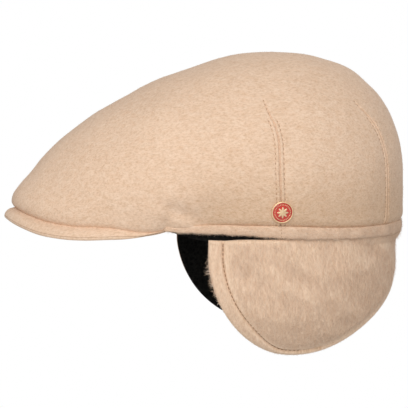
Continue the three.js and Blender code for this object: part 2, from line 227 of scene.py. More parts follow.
# Badge
BADGE_RADIUS = 7.6
BADGE_RIM_WIDTH = 0.9
BADGE_THICKNESS = 1.3
BADGE_WELL = 0.7
BADGE_DOTS = 30
BADGE_PETALS = 8
BADGE_EDGE_RADIUS = 0.45
BADGE_HEAD_RADIUS = 4
BADGE_HEAD_THICKNESS = 1.5
BADGE_POST_RADIUS = 0.8
ENAMEL_EDGE = BADGE_THICKNESS - 0.35
ENAMEL_RISE = 0.6
ENAMEL_RADIUS = BADGE_RADIUS - BADGE_RIM_WIDTH - 0.1
PETAL_RADIUS = 4
PETAL_DEPTH = 0.24
DOT_RADIUS = 0.36
DOT_HEIGHT = 0.3
DOT_RING = 5.35

# Photograph: its frame, the origin's place in it, and the size of a pixel at the cap's middle
PHOTO_SIZE = 408
PHOTO_ORIGIN = (249.6, 231.2)
PHOTO_PIXEL = 0.714
CAMERA_AZIMUTH = 81.5
CAMERA_ELEVATION = 4.5
CAMERA_DISTANCE = 1800

# Studio: lights have an azimuth and an elevation in degrees, a distance and a size in metres
FLOOR_HEIGHT = -320
FLOOR_RADIUS = 1100
AMBIENT = 0.46
KEY_POWER = 19.3
KEY_PLACE = (75, 28, 1.7, 1.3)
BACK_POWER = KEY_POWER * 0.48
BACK_PLACE = (235, 12, 1.9, 1.4)

rng = np.random.default_rng(11)


def smooth(start, end, value):
    """A soft step from 0 at start to 1 at end."""
    t = np.clip((value - start) / (end - start), 0, 1)
    return t * t * (3 - 2 * t)


def unit(vectors):
    """Vectors brought to a length of 1."""
    length = np.linalg.norm(vectors, axis=-1, keepdims=True)
    return vectors / np.maximum(length, 1e-9)


def mix(a, b, t):
    """The value that lies a share t of the way from a to b."""
    return a + (b - a) * t


def circle(count):
    """Angles evenly round a circle."""
    return np.linspace(0, 2 * pi, count, endpoint=False)


def ridge(distance, height, at, width):
    """A soft ridge, or a groove where its height is negative, across a distance."""
    return height * np.exp(-(((distance - at) / width) ** 2))


def ripple(points, wavelength, seed):
    """A soft random wave over points, between about -1 and 1."""
    waves = np.random.default_rng(seed)
    total = np.zeros(points.shape[:-1])
    for _ in range(7):
        direction = unit(waves.normal(size=3)) * (2 * pi / wavelength) * waves.uniform(0.6, 1.4)
        total += np.sin(points @ direction + waves.uniform(0, 2 * pi))
    return total / 4


# The rim

def around_head(angle, offset):
    """Plan points round the head, 0 at the back and a half turn at the forehead."""
    on = np.stack([HEAD_HALF[0] * np.sin(angle), HEAD_HALF[1] * np.cos(angle)], axis=-1)
    normal = unit(np.stack([np.sin(angle) / HEAD_HALF[0], np.cos(angle) / HEAD_HALF[1]], axis=-1))
    return on + normal * np.asarray(offset)[..., None]


def rim_height(angle):
    """Height of the head opening's edge: it rises a little to the temples and more at the forehead."""
    forward = (1 - np.cos(angle)) / 2
    return RIM_TEMPLE_RISE * forward + RIM_FOREHEAD_RISE * forward**8


def through(table, column, at):
    """A smooth curve through one column of a table, against its first column."""
    knots = table[:, 0]
    value = table[:, column]
    slope = np.gradient(value, knots)
    i = np.clip(np.searchsorted(knots, at, side="right") - 1, 0, len(knots) - 2)
    span = knots[i + 1] - knots[i]
    t = np.clip((at - knots[i]) / span, 0, 1)
    s = 1 - t
    first = value[i] * (1 + 2 * t) + slope[i] * span * t
    second = value[i + 1] * (3 - 2 * t) - slope[i + 1] * span * s
    return first * s * s + second * t * t


def over_rim(table, column, angle):
    """Heights that a table gives over the rim, against degrees from the back."""
    return rim_height(angle) + through(table, column, np.degrees(np.abs(angle)))


# The peak

PEAK_END_POINT = around_head(PEAK_END, BAND_OUTER)
PEAK_OUTLINE = np.array([
    [0, PEAK_TIP_Y],
    [PEAK_FRONT_WIDTH, PEAK_TIP_Y],
    [PEAK_END_POINT[0] + PEAK_SIDE_BULGE, mix(PEAK_END_POINT[1], PEAK_TIP_Y, 0.47)],
    PEAK_END_POINT,
])


def corner_fill(y):
    """How far the cloth stands out over the corner where the peak's end meets the hem."""
    return ridge(y, CORNER_FILL, PEAK_END_POINT[1], CORNER_FILL_LENGTH)


def peak_plan(side, inward):
    """Plan point of the peak: side runs from -1 to 1 across it, inward from its outline to its root."""
    t = np.abs(side)[..., None]
    p = PEAK_OUTLINE
    outer = (1 - t) ** 3 * p[0] + 3 * t * (1 - t) ** 2 * p[1] + 3 * t**2 * (1 - t) * p[2] + t**3 * p[3]
    root = around_head(pi - np.abs(side) * (pi - PEAK_END), LINING_INNER)
    width = np.linalg.norm(outer - root, axis=-1)
    share = np.minimum(1, inward / width)
    at = mix(outer, root, share[..., None])
    at[..., 0] += corner_fill(at[..., 1]) * (1 - share)
    at[..., 0] *= np.where(side < 0, -1, 1)
    return at, share, width


def peak_layers(side, inward):
    """Heights of the peak's underside, of its edge seam and of its top."""
    along = np.abs(side)
    share = peak_plan(side, inward)[1]
    arch = np.cos((pi / 2) * np.minimum(along / PEAK_ARCH_TO, 1)) ** 2
    end = np.maximum(0, (along - PEAK_ARCH_TO) / (1 - PEAK_ARCH_TO)) ** 3
    edge = (
        PEAK_SIDE_HEIGHT
        + (PEAK_TIP_HEIGHT - PEAK_SIDE_HEIGHT) * arch
        + (rim_height(PEAK_END) - PEAK_SIDE_HEIGHT) * end
    )
    root = rim_height(pi - along * (pi - PEAK_END))
    under = mix(root, edge, (1 - share) ** PEAK_CURL)
    full = PEAK_TOP_THICKNESS + PEAK_UNDER_THICKNESS + CLEARANCE
    thin = mix(1, BAND_TAIL_HEIGHT / full, smooth(PEAK_THIN_FROM, 1, along))
    left = np.maximum(0, 1 - inward / PEAK_EDGE_RADIUS)
    roll = mix(np.sqrt(1 - left**2), 1, smooth(PEAK_ROLL_TO, 1, along)) * thin
    seam = under + PEAK_UNDER_THICKNESS * thin
    return seam - PEAK_UNDER_THICKNESS * roll, seam, seam + CLEARANCE + PEAK_TOP_THICKNESS * roll


# The crown

CROWN_FRONT_REACH = CROWN_AXIS_Y - (PEAK_TIP_Y + CROWN_SETBACK)
CROWN_BACK_REACH = BAND_HALF[1] + CROWN_BACK_OVERHANG - CROWN_AXIS_Y
CROWN_HALF_WIDTH = BAND_HALF[0] + CROWN_SIDE_OVERHANG
CROWN_SHAPE = np.column_stack([1 - np.sqrt(1 - CROWN_SECTIONS[:, 0]), CROWN_SECTIONS[:, 1:]])


def crown_oval(turn, climb):
    """Plan point of the crown before its edge is drawn in: turn runs round it from the back."""
    along = np.cos(turn)
    middle = CROWN_AXIS_Y * climb
    front = CROWN_FRONT_REACH * through(CROWN_SHAPE, 1, climb) - (CROWN_AXIS_Y - middle)
    back = CROWN_BACK_REACH * through(CROWN_SHAPE, 2, climb) + (CROWN_AXIS_Y - middle)
    fullness = np.where(along < 0, 1 + CROWN_NOSE_FULLNESS * along**2, 1)
    x = CROWN_HALF_WIDTH * through(CROWN_SHAPE, 3, climb) * np.sin(turn) * fullness
    return x, middle + np.where(along < 0, front, back) * along


def setback_at(along):
    """How far the crown's edge lies behind the peak's outline: nothing at the peak's ends."""
    return CROWN_SETBACK * (1 - smooth(0.6, 1, along))


def crown_edge(turn):
    """The crown's lower edge: on the hem round the back and the sides, and on the peak in front."""
    oval_y = crown_oval(turn, np.zeros_like(turn))[1]
    y = np.where(np.cos(turn) < 0, oval_y, BAND_HALF[1] * np.cos(turn))
    mirror = np.where(np.sin(turn) < 0, -1, 1)
    share = np.clip(y / BAND_HALF[1], -1, 1)
    angle = np.arccos(share)
    on_band = np.stack([
        mirror * BAND_HALF[0] * np.sqrt(1 - share**2),
        y,
        over_rim(HEM_EDGES, 2, np.minimum(angle, PEAK_END)) + CROWN_LIFT,
    ], axis=-1)
    low = np.zeros_like(turn)
    high = np.ones_like(turn)
    for _ in range(30):
        middle = (low + high) / 2
        short = peak_plan(middle, setback_at(middle))[0][..., 1] < np.maximum(y, PEAK_TIP_Y + CROWN_SETBACK)
        low = np.where(short, middle, low)
        high = np.where(short, high, middle)
    plan = peak_plan(low, setback_at(low))[0]
    top = peak_layers(low, setback_at(low))[2]
    on_peak = np.stack([mirror * plan[..., 0], plan[..., 1], top + CROWN_LIFT], axis=-1)
    on_band[..., 0] += mirror * corner_fill(y)
    return np.where((y > PEAK_END_POINT[1])[..., None], on_band, on_peak)


def crease_depth(y, z):
    """Depth of the soft fold that runs up from the hem, with a low ridge under it."""
    low = np.array(CREASE_LOW) * [BAND_HALF[1], CROWN_TOP]
    high = np.array(CREASE_HIGH) * [BAND_HALF[1], CROWN_TOP]
    run = high - low
    at = np.stack([y, z], axis=-1) - low
    along = np.clip(at @ run / (run @ run), 0, 1)
    off = at - along[..., None] * run
    fold = ridge(np.linalg.norm(off, axis=-1), CREASE_DEPTH, 0, CREASE_HALF_WIDTH)
    below = np.linalg.norm(off + [0, CREASE_RIDGE_DROP], axis=-1)
    fold = fold - ridge(below, CREASE_RIDGE, 0, CREASE_HALF_WIDTH)
    return fold * np.sin(pi * mix(*CREASE_FADE, along))


def crown_outside(turn, climb):
    """The crown's outer surface, drawn in at the foot to its lower edge."""
    rise = 1 - (1 - climb) ** 2
    edge = crown_edge(turn)
    low_x, low_y = crown_oval(turn, np.zeros_like(climb))
    x, y = crown_oval(turn, climb)
    corner = ridge(np.minimum(turn, 2 * pi - turn), 1, PEAK_CORNER, PEAK_CORNER_SPREAD)
    drawn = 1 - smooth(0, mix(CROWN_WAIST, CROWN_CORNER_WAIST, corner), rise)
    x = x + (edge[..., 0] - low_x) * drawn
    y = y + (edge[..., 1] - low_y) * drawn
    z = mix(edge[..., 2], CROWN_TOP, rise)
    side = np.abs(x) > BAND_HALF[0] / 3
    return np.stack([x - np.sign(x) * side * crease_depth(y, z), y, z], axis=-1)


def grid_normals(points, closed):
    """Unit normals of a grid of points, whose columns may close on themselves."""
    if closed:
        across = np.roll(points, -1, axis=1) - np.roll(points, 1, axis=1)
    else:
        across = np.gradient(points, axis=1)
    along = np.gradient(points, axis=0)
    return unit(np.cross(across, along))


# Meshes

def add_object(name, data):
    """A new object in the scene."""
    thing = bpy.data.objects.new(name, data)
    bpy.context.collection.objects.link(thing)
    return thing


def add_piece(name, mesh, material):
    """A visible piece of the part."""
    mesh.materials.append(material)
    piece = add_object(name, mesh)
    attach(piece, "root")
    return piece


def mesh_piece(name, grids, material, slot, closed=""):
    """A smooth-shaded piece from one grid of points in millimetres, or from a stack of them.
    Its rows and columns close on themselves where closed names them."""
    rows, columns = grids.shape[-3:-1]
    i, j = np.indices((rows - ("rows" not in closed), columns - ("columns" not in closed)))
    row, below = i * columns, (i + 1) % rows * columns
    beside = (j + 1) % columns
    corners = np.stack([row + j, row + beside, below + beside, below + j], axis=-1).reshape(-1, 4)
    starts = np.arange(0, grids.size // 3, rows * columns)[:, None, None]
    mesh = bpy.data.meshes.new(name)
    mesh.from_pydata((grids.reshape(-1, 3) * MM).tolist(), [], (starts + corners).reshape(-1, 4).tolist())
    mesh.polygons.foreach_set("use_smooth", [True] * len(mesh.polygons))
    mesh.update()
    return add_piece(name, mesh, material)


def welded_piece(*shape, fill=False):
    """The same with equal points joined, open ends filled if asked, and all faces turned outwards."""
    piece = mesh_piece(*shape)
    work = bmesh.new()
    work.from_mesh(piece.data)
    bmesh.ops.remove_doubles(work, verts=work.verts, dist=1e-6)
    bmesh.ops.dissolve_degenerate(work, dist=1e-7, edges=work.edges)
    if fill:
        open_edges = [edge for edge in work.edges if edge.is_boundary]
        bmesh.ops.holes_fill(work, edges=open_edges, sides=0)
    bmesh.ops.recalc_face_normals(work, faces=work.faces)
    work.to_mesh(piece.data)
    work.free()
    return piece


# Materials

def srgb(red, green, blue):
    """Linear colour from the usual 0 to 255 numbers."""
    values = np.array([red, green, blue]) / 255
    linear = np.where(values <= 0.04045, values / 12.92, ((values + 0.055) / 1.055) ** 2.4)
    return (*linear.tolist(), 1)


class Nodes:
    """Short calls for building the node tree of a material or of the world."""

    def __init__(self, owner):
        owner.use_nodes = True
        self.owner = owner
        self.tree = owner.node_tree

    def join(self, socket, value):
        """Gives a socket its value, which may be another node's output."""
        if isinstance(value, bpy.types.NodeSocket):
            self.tree.links.new(value, socket)
        else:
            socket.default_value = value

    def add(self, kind, **values):
        """A new node, with its settings and inputs by name."""
        node = self.tree.nodes.new(kind)
        for key, value in values.items():
            if hasattr(node, key):
                setattr(node, key, value)
            else:
                self.join(node.inputs[key.replace("_", " ")], value)
        return node

    def place(self):
        return self.add("ShaderNodeTexCoord").outputs["Object"]

    def noise(self, scale, detail=4, stretch=(1, 1, 1), roughness=0.55):
        place = self.add("ShaderNodeMapping", Scale=stretch, Vector=self.place()).outputs["Vector"]
        noise = self.add("ShaderNodeTexNoise", Scale=scale, Detail=detail, Roughness=roughness, Vector=place)
        return noise.outputs["Fac"]

    def low_painted_shade(self):
        """How much painted shade the cloth gets: most low on the sides and the back, just above the hem."""
        split = self.add("ShaderNodeSeparateXYZ", Vector=self.place())
        both = self.add("ShaderNodeMath", operation="MULTIPLY")
        for axis, (none, full), socket in zip("ZY", (PAINTED_SHADE_HEIGHTS, PAINTED_SHADE_Y), both.inputs):
            share = self.add("ShaderNodeMapRange", interpolation_type="SMOOTHSTEP",
                             From_Min=none * MM, From_Max=full * MM, Value=split.outputs[axis])
            self.join(socket, share.outputs["Result"])
        return both.outputs["Value"]

    def ramp(self, factor, *stops):
        node = self.add("ShaderNodeValToRGB", Fac=factor)
        ramp = node.color_ramp
        while len(ramp.elements) < len(stops):
            ramp.elements.new(0.5)
        for element, (position, colour) in zip(ramp.elements, stops):
            element.position = position
            element.color = colour
        return node.outputs["Color"]

    def blend(self, factor, first, second, mode="MIX"):
        node = self.add("ShaderNodeMix", data_type="RGBA", blend_type=mode)
        for socket, value in ((0, factor), (6, first), (7, second)):
            self.join(node.inputs[socket], value)
        return node.outputs[2]

    def bump(self, height, distance, strength=1.0, **after):
        node = self.add("ShaderNodeBump", Distance=distance * MM, Strength=strength, Height=height, **after)
        return node.outputs["Normal"]

    def finish(self, shader="Principled BSDF", **values):
        """The finished owner, with the inputs of its shader by name."""
        for key, value in values.items():
            self.join(self.tree.nodes[shader].inputs[key.replace("_", " ")], value)
        return self.owner


def grey(value):
    return (value, value, value, 1)


def wool_material(name, light, middle, dark, stretch, nap, low_painted_shade=False):
    """Brushed wool: blotches of nap, fine combed streaks and soft lumps, and where asked, painted shade low
    on the crown's sides and back.
    """
    nodes = Nodes(bpy.data.materials.new(name))
    blotches = nodes.noise(340, 5, stretch, 0.66)
    streaks = nodes.noise(980, 3, stretch, 0.7)
    wide = nodes.noise(24, 2)
    base = nodes.ramp(blotches, (0.28, dark), (0.5, middle), (0.74, light))
    fine = nodes.ramp(streaks, (0.33, STREAK), (0.57, grey(1)))
    colour = nodes.blend(0.8, base, fine, "MULTIPLY")
    broad = nodes.ramp(wide, (0.3, WORN), (0.7, grey(1)))
    colour = nodes.blend(0.7, colour, broad, "MULTIPLY")
    # Painted shade: the colour darkens low on the sides and the back, just above the hem.
    if low_painted_shade:
        colour = nodes.blend(nodes.low_painted_shade(), colour, PAINTED_SHADE_TINT, "MULTIPLY")
    lumps = nodes.bump(blotches, nap, strength=0.5)
    normal = nodes.bump(streaks, nap * 0.4, strength=0.7, Normal=lumps)
    return nodes.finish(Base_Color=colour, Normal=normal, Roughness=0.95, Sheen_Weight=0.1,
                        Sheen_Roughness=0.6, Specular_IOR_Level=0.15)


def fibre_material(name, light, dark, roughness):
    """Loose fibres, each with its own tone."""
    nodes = Nodes(bpy.data.materials.new(name))
    tone = nodes.add("ShaderNodeAttribute", attribute_name="tone")
    colour = nodes.blend(tone.outputs["Fac"], dark, light)
    return nodes.finish(Base_Color=colour, Roughness=roughness, Specular_IOR_Level=0.2)


def grained_material(name, dark, light, noise, stops=(0.3, 0.7), relief=None, **values):
    """A colour that runs between two tones with a fine grain, which may be felt as relief too."""
    nodes = Nodes(bpy.data.materials.new(name))
    grain = nodes.noise(*noise)
    if relief:
        values["Normal"] = nodes.bump(grain, *relief)
    return nodes.finish(Base_Color=nodes.ramp(grain, (stops[0], dark), (stops[1], light)), **values)


WOOL_TONES = (srgb(240, 212, 187), srgb(235, 204, 177), srgb(228, 194, 164))
FLAP_TONES = (srgb(247, 219, 193), srgb(241, 211, 183), srgb(232, 199, 169))
STREAK = (0.76, 0.715, 0.645, 1)
WORN = (0.95, 0.94, 0.93, 1)
# Painted shade low on the crown: its tint, then the heights and the places from front to back over which it
# fades in.
PAINTED_SHADE_TINT = (0.86, 0.825, 0.77, 1)
PAINTED_SHADE_HEIGHTS = (60, 14)
PAINTED_SHADE_Y = (-64, -34)
WOOL_STRETCH = (1, 0.45, 1)
FLAP_STRETCH = (1, 1, 0.34)
WEAVE_STRETCH = (1, 1, 0.3)
SEWING = {"noise": (1500, 2), "Roughness": 0.8, "Specular_IOR_Level": 0.2}

wool = wool_material("wool_cloth", *WOOL_TONES, WOOL_STRETCH, 0.5)
# The crown's copy of the wool, with painted shade low on its sides and back.
crown_wool = wool_material("crown_cloth", *WOOL_TONES, WOOL_STRETCH, 0.5, low_painted_shade=True)
flap_wool = wool_material("flap_cloth", *FLAP_TONES, FLAP_STRETCH, 0.8)
wool_fibre = fibre_material("wool_fibre", srgb(248, 226, 203), srgb(220, 186, 156), 0.8)
fleece = grained_material(
    "black_fleece", srgb(9, 9, 9), srgb(42, 41, 38), (420, 5, (1, 1, 1), 0.7),
    stops=(0.35, 0.75), relief=(0.8,), Roughness=1.0, Specular_IOR_Level=0.1,
)
lining_cloth = grained_material(
    "crown_lining", srgb(60, 56, 53), srgb(90, 85, 80), (900, 3, WEAVE_STRETCH, 0.7),
    stops=(0.35, 0.7), relief=(0.15,), Roughness=0.55, Specular_IOR_Level=0.3,
)
fleece_fibre = fibre_material("fleece_fibre", srgb(46, 45, 43), srgb(6, 6, 6), 1.0)
gilt = grained_material(
    "gilt_metal", srgb(244, 204, 158), srgb(255, 226, 186), (900, 3),
    relief=(0.02, 0.4), Metallic=0.75, Roughness=0.42,
)
red_enamel = grained_material(
    "red_enamel", srgb(178, 40, 30), srgb(204, 58, 44), (260, 2),
    Roughness=0.25, Coat_Weight=0.6, Coat_Roughness=0.08,
)
thread = grained_material("thread", srgb(150, 116, 88), srgb(186, 150, 118), **SEWING)
# Real stitches, whose thread is coloured darker so that the flap's seam row reads as the shade of its
# groove: partly painted shade.
dark_thread = grained_material("dark_thread", srgb(126, 95, 70), srgb(168, 131, 100), **SEWING)


# Fibres and stitches

FIBRE_ROOT = 0.15
FIBRE_LENGTHS = (0.5, 1.3)
FIBRE_WIDTHS = (0.7, 1.3)
STITCH_SHARES = (0, 0.2, 0.5, 0.8, 1)

# Fibres of each piece: how many, then their length, width, lift off the cloth and sideways spread
FIBRES = {
    "crown_nap": (60000, 2.4, 0.09, 0.3, 0.9),
    "hem_nap": (24000, 2.5, 0.09, 0.55, 0.9),
    "peak_nap": (20000, 2, 0.09, 0.3, 0.9),
    "flap_nap": (60000, 5.5, 0.1, 0.22, 0.45),
    "flap_fuzz": (150, 5, 0.2, 0.5, 0.8),
    "hem_fringe": (2200, 3, 0.17, 0.3, 0.6),
    "strip_fuzz": (6000, 3.2, 0.14, 1.6, 0.9),
    "fleece_nap": (16000, 2.4, 0.14, 0.7, 0.9),
}


def scatter(points, normals, count, closed=False, field=1.0):
    """Places on a grid surface, evenly spread, with their normals and the value of a field there."""
    following = np.roll(points, -1, axis=1) if closed else points
    across = following - points if closed else np.gradient(points, axis=1)
    down = np.gradient(points, axis=0)
    area = np.linalg.norm(np.cross(across, down), axis=-1)[:-1, : None if closed else -1]
    chosen = rng.choice(area.size, size=count, p=(area / area.sum()).ravel())
    i, j = np.unravel_index(chosen, area.shape)
    u = rng.random(count)[:, None]
    v = rng.random(count)[:, None]
    k = (j + 1) % points.shape[1]

    def between(values):
        top = mix(values[i, j], values[i, k], u)
        bottom = mix(values[i + 1, j], values[i + 1, k], u)
        return mix(top, bottom, v)

    value = between(np.broadcast_to(field, points.shape[:2])[..., None])
    return between(points), unit(between(normals)), value


def fibres(name, surface, comb, material=wool_fibre, slot="wool_cloth", tries=None, **field):
    """Loose fibres that lie along comb over a surface: each is a bent strip of three triangles.
    With tries, they are the first of so many places where the field is well above nothing."""
    count, length, width, lift, spread = FIBRES[name]
    base, normal, scale = scatter(*surface, tries or count, **field)
    if tries:
        kept = np.nonzero(scale[:, 0] > 0.2)[0][:count]
        base, normal, scale = base[kept], normal[kept], scale[kept]
    count = len(base)
    comb = unit(comb - normal * np.sum(comb * normal, axis=1, keepdims=True))
    sideways = np.cross(comb, normal)
    lean = rng.normal(0, spread, (count, 1))
    rise = np.abs(rng.normal(lift, lift * 0.7, (count, 1)))
    first = unit(comb + sideways * lean + normal * rise)
    swerve = sideways * rng.normal(0, spread, (count, 1))
    second = unit(first + swerve - normal * rise * rng.uniform(0, 1.4, (count, 1)))
    reach = length * scale * rng.uniform(*FIBRE_LENGTHS, (count, 1))
    half = unit(np.cross(first, normal)) * (width / 2) * rng.uniform(*FIBRE_WIDTHS, (count, 1))
    start = base - normal * FIBRE_ROOT
    middle = start + first * reach * 0.5
    tip = middle + second * reach * 0.5
    corners = np.stack([start - half, start + half, middle + half * 0.8, middle - half * 0.8, tip], axis=1)
    offset = np.arange(count)[:, None] * 5
    triangles = np.concatenate([offset + [[0, 1, 2]], offset + [[0, 2, 3]], offset + [[3, 2, 4]]])

    mesh = bpy.data.meshes.new(name)
    mesh.vertices.add(count * 5)
    mesh.vertices.foreach_set("co", (corners * MM).astype(np.float32).ravel())
    mesh.loops.add(triangles.size)
    mesh.loops.foreach_set("vertex_index", triangles.astype(np.int32).ravel())
    mesh.polygons.add(len(triangles))
    mesh.polygons.foreach_set("loop_start", np.arange(0, triangles.size, 3, dtype=np.int32))
    mesh.polygons.foreach_set("use_smooth", np.ones(len(triangles), dtype=bool))
    mesh.update(calc_edges=True)
    tone = mesh.attributes.new("tone", "FLOAT", "POINT")
    tone.data.foreach_set("value", np.repeat(rng.random(count), 5).astype(np.float32))
    shading = unit(normal + first * 0.15 + sideways * rng.normal(0, 0.25, (count, 1)))
    mesh.normals_split_custom_set_from_vertices(np.repeat(shading, 5, axis=0).tolist())
    return add_piece(name, mesh, material)


def follow(values, along, at):
    """Values at places between those of a path, whose distances from its start are along."""
    return np.stack([np.interp(at, along, values[:, k]) for k in range(values.shape[1])], axis=-1)


def along_path(path):
    """How far each point of a path lies from its start."""
    return np.concatenate([[0], np.cumsum(np.linalg.norm(np.diff(path, axis=0), axis=1))])


def stitches(name, path, normals, stitch, material):
    """A row of stitches along a path: each is a short thread that dips in at both ends."""
    step, length, radius = stitch
    along = along_path(path)
    starts = np.arange(step / 2, along[-1] - length, step)
    turn = circle(6)[:, None]
    rings = []
    for start in starts:
        for share in STITCH_SHARES:
            at = start + length * share
            centre = follow(path, along, at)
            normal = unit(follow(normals, along, at))
            side = unit(np.cross(unit(follow(path, along, at + 0.2) - centre), normal))
            bow = math.sin(pi * share)
            thick = radius * (0.35 + 0.65 * bow)
            ring = centre + normal * (radius * (1.6 * bow - 0.8))
            rings.append(ring + thick * (np.cos(turn) * side + np.sin(turn) * normal))
    grids = np.reshape(rings, (len(starts), len(STITCH_SHARES), -1, 3))
    return mesh_piece(name, grids, material, "wool_cloth", "columns")


# Crown

def crown_columns(count, darts, crowd=5.0, reach=radians(5)):
    """Turns of the crown's columns, crowded round each dart, and the column that each dart follows."""
    fine = np.linspace(0, 2 * pi, 20001)
    density = 1 + sum(ridge(fine, crowd, dart, reach) for dart in darts)
    total = np.concatenate([[0], np.cumsum((density[1:] + density[:-1]) / 2)])
    turns = np.interp(np.linspace(0, total[-1], count, endpoint=False), total, fine)
    nearest = [int(np.argmin(np.abs(turns - dart))) for dart in darts]
    for column, dart in zip(nearest, darts):
        turns[column] = dart
    return turns, nearest


def dart_turn(table, mirrored, rise):
    """How far round the crown a dart lies at a share of the rise."""
    turn = np.radians(np.interp(rise, table[:, 0], table[:, 1]))
    return 2 * pi - turn if mirrored else turn


def crown_relief(surface, climb, rise, along, tops, columns):
    """Soft lumps in the cloth, the forms beside each dart, and the groove over the hem."""
    relief = CROWN_LUMPS * ripple(surface, 60, 3) + 0.16 * ripple(surface, 19, 4)
    for top, column in zip(tops, columns):
        off = np.abs(along - along[:, column : column + 1])
        fade = 1 - smooth(top - DART_FADE, top, rise)
        rows_fade = 1 - smooth(DART_ROWS_TOP - 0.03, DART_ROWS_TOP + 0.02, rise)
        rear = top == REAR_DART[-1, 0]
        depth = DART_GROOVE_DEPTH * (REAR_DART_DEEPER if rear else 1)
        groove = ridge(off, -depth, 0, DART_GROOVE_WIDTH * (REAR_DART_WIDER if rear else 1))
        relief += fade * (groove + rows_fade * (ridge(off, *DART_PUFF) + ridge(off, *DART_ROW)))
    height = surface[..., 2] - surface[0, :, 2]
    foot = surface[:1, :, 1]
    angle = np.arccos(np.clip(foot / BAND_HALF[1], -1, 1))
    flush = smooth(*HEM_FLUSH_SPAN, angle) * (foot > PEAK_END_POINT[1])
    relief -= ridge(height, mix(HEM_GROOVE_DEPTH, 0.05, flush), 0, HEM_GROOVE_WIDTH)
    return relief * (1 - climb**8)


def dart_stitches(outer, normals, rise, along, tops, columns):
    """Two rows of stitches beside each dart, and one over its upper end."""
    for index, (top, column) in enumerate(zip(tops, columns)):
        for part, side, low, high in (
            ("a", -1, 0.02, DART_ROWS_TOP),
            ("b", 1, 0.02, DART_ROWS_TOP),
            ("top", 0, DART_ROWS_TOP, top),
        ):
            first, last = np.searchsorted(rise[:, 0], (low, high))
            line = []
            for row in range(first, last):
                at = along[row, column] + side * DART_ROW[1]
                line.append(follow(outer[row], along[row], at))
            name = f"dart_stitches_{index}_{part}"
            stitches(name, np.array(line), normals[first:last, column], DART_STITCH, thread)


def make_crown():
    """The crown's cloth, its lining and the stitches of its darts."""
    darts = [(table, mirrored) for table in (SIDE_DART, REAR_DART) for mirrored in (False, True)]
    tops = [table[-1, 0] for table, _ in darts]
    feet = [float(dart_turn(*dart, 0)) for dart in darts]
    turns, columns = crown_columns(CROWN_COLUMNS, feet)
    climbs = np.linspace(0, 1, CROWN_ROWS) ** 1.12
    rise = (1 - (1 - climbs) ** 2)[:, None]
    turn, climb = np.meshgrid(turns, climbs)
    for dart, foot in zip(darts, feet):
        turn += (dart_turn(*dart, rise) - foot) * ridge(turns, 1, foot, DART_SPREAD)
    surface = crown_outside(turn, climb)
    normals = -grid_normals(surface, True)
    normals[-1] = (0, 0, 1)

    steps = np.linalg.norm(np.roll(surface, -1, axis=1) - surface, axis=-1)
    along = np.concatenate([np.zeros((len(climbs), 1)), np.cumsum(steps[:, :-1], axis=1)], axis=1)
    relief = crown_relief(surface, climb, rise, along, tops, columns)
    outer = surface + normals * relief[..., None]
    inner = surface - normals * CROWN_WALL
    tucked = outer[:1] - normals[:1] * 1.4 - [0, 0, 1.5]
    rows = np.concatenate([inner[::-4], tucked, outer])
    piece = welded_piece("crown_cloth", rows, crown_wool, "wool_cloth", "columns")
    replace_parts(piece, "crown")

    shell = np.concatenate([inner[::-3, ::2], (inner - normals * LINING_CLOTH)[::-3, ::2][::-1]])
    welded_piece("crown_lining", shell, lining_cloth, "black_fleece", "rows columns")
    dart_stitches(outer, normals, rise, along, tops, columns)
    return outer, normals


# Hem band

def waves(angle, table):
    """The sum of a table's waves."""
    return sum(height * np.sin(angle * count + start) for height, count, start in table)


def raised(plan, height):
    """Points over a plan."""
    return np.concatenate([plan, height[..., None]], axis=-1)


def wall(angles, rows):
    """Points of a wall round the head, from rows of its distance from the head and its height."""
    return np.array([raised(around_head(angles, offset + 0 * angles), height) for offset, height in rows])


def make_band():
    """The turned hem: rolled on the outside, flat inside, and flush with the crown at the peak."""
    end = PEAK_END - CLEARANCE / BAND_HALF[0]
    flap_edge = FLAP_FRONT + 2 * CLEARANCE / BAND_HALF[0]
    angles = np.linspace(-end, end, BAND_COLUMNS)
    low = over_rim(HEM_EDGES, 1, angles) + waves(angles, HEM_EDGE_WAVES)
    high = over_rim(HEM_EDGES, 2, angles)
    inner = np.where(np.abs(angles) > flap_edge, LINING_INNER, BAND_INNER)
    flush = smooth(*HEM_FLUSH_SPAN, np.abs(angles))
    swell = BAND_BULGE * (1 - smooth(0.5, 1, np.cos(angles))) + waves(angles, HEM_BULGE_WAVES)
    bulge = BAND_OUTER + mix(swell, 0, flush)
    filled = corner_fill(BAND_HALF[1] * np.cos(angles))
    tucked = BAND_OUTER - mix(1.6, 0.2, flush)
    rows = []
    for t in np.linspace(0, 1, BAND_ROLL_ROWS):
        share = (1 - math.cos(pi * t)) / 2
        proud = math.sqrt(math.sin(pi * t))
        rest = mix(BAND_INNER + 0.6, tucked, share)
        rows.append((mix(rest, bulge, proud) + filled, mix(low, high + CROWN_LIFT, share)))
    rows += [(BAND_OUTER - 1.8, high + 2), (inner, high + 1), (inner, low + 0.3)]
    points = wall(angles, rows)
    piece = welded_piece("hem_cloth", points, wool, "wool_cloth", "rows")
    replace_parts(piece, "hem_band")
    shown = points[:BAND_ROLL_ROWS]
    return shown, -grid_normals(shown, False)


def hem_stitches(points, normals):
    """A row of stitches over the hem under each side dart."""
    last = BAND_COLUMNS - 1
    degrees = np.linspace(-1, 1, BAND_COLUMNS) * np.degrees(PEAK_END)
    left = int(np.argmin(np.abs(degrees - SIDE_DART[0, 1])))
    for side, column in (("left", left), ("right", last - left)):
        path = points[2:-2, column]
        stitches(f"hem_stitches_{side}", path, normals[2:-2, column], HEM_STITCH, thread)


# Peak

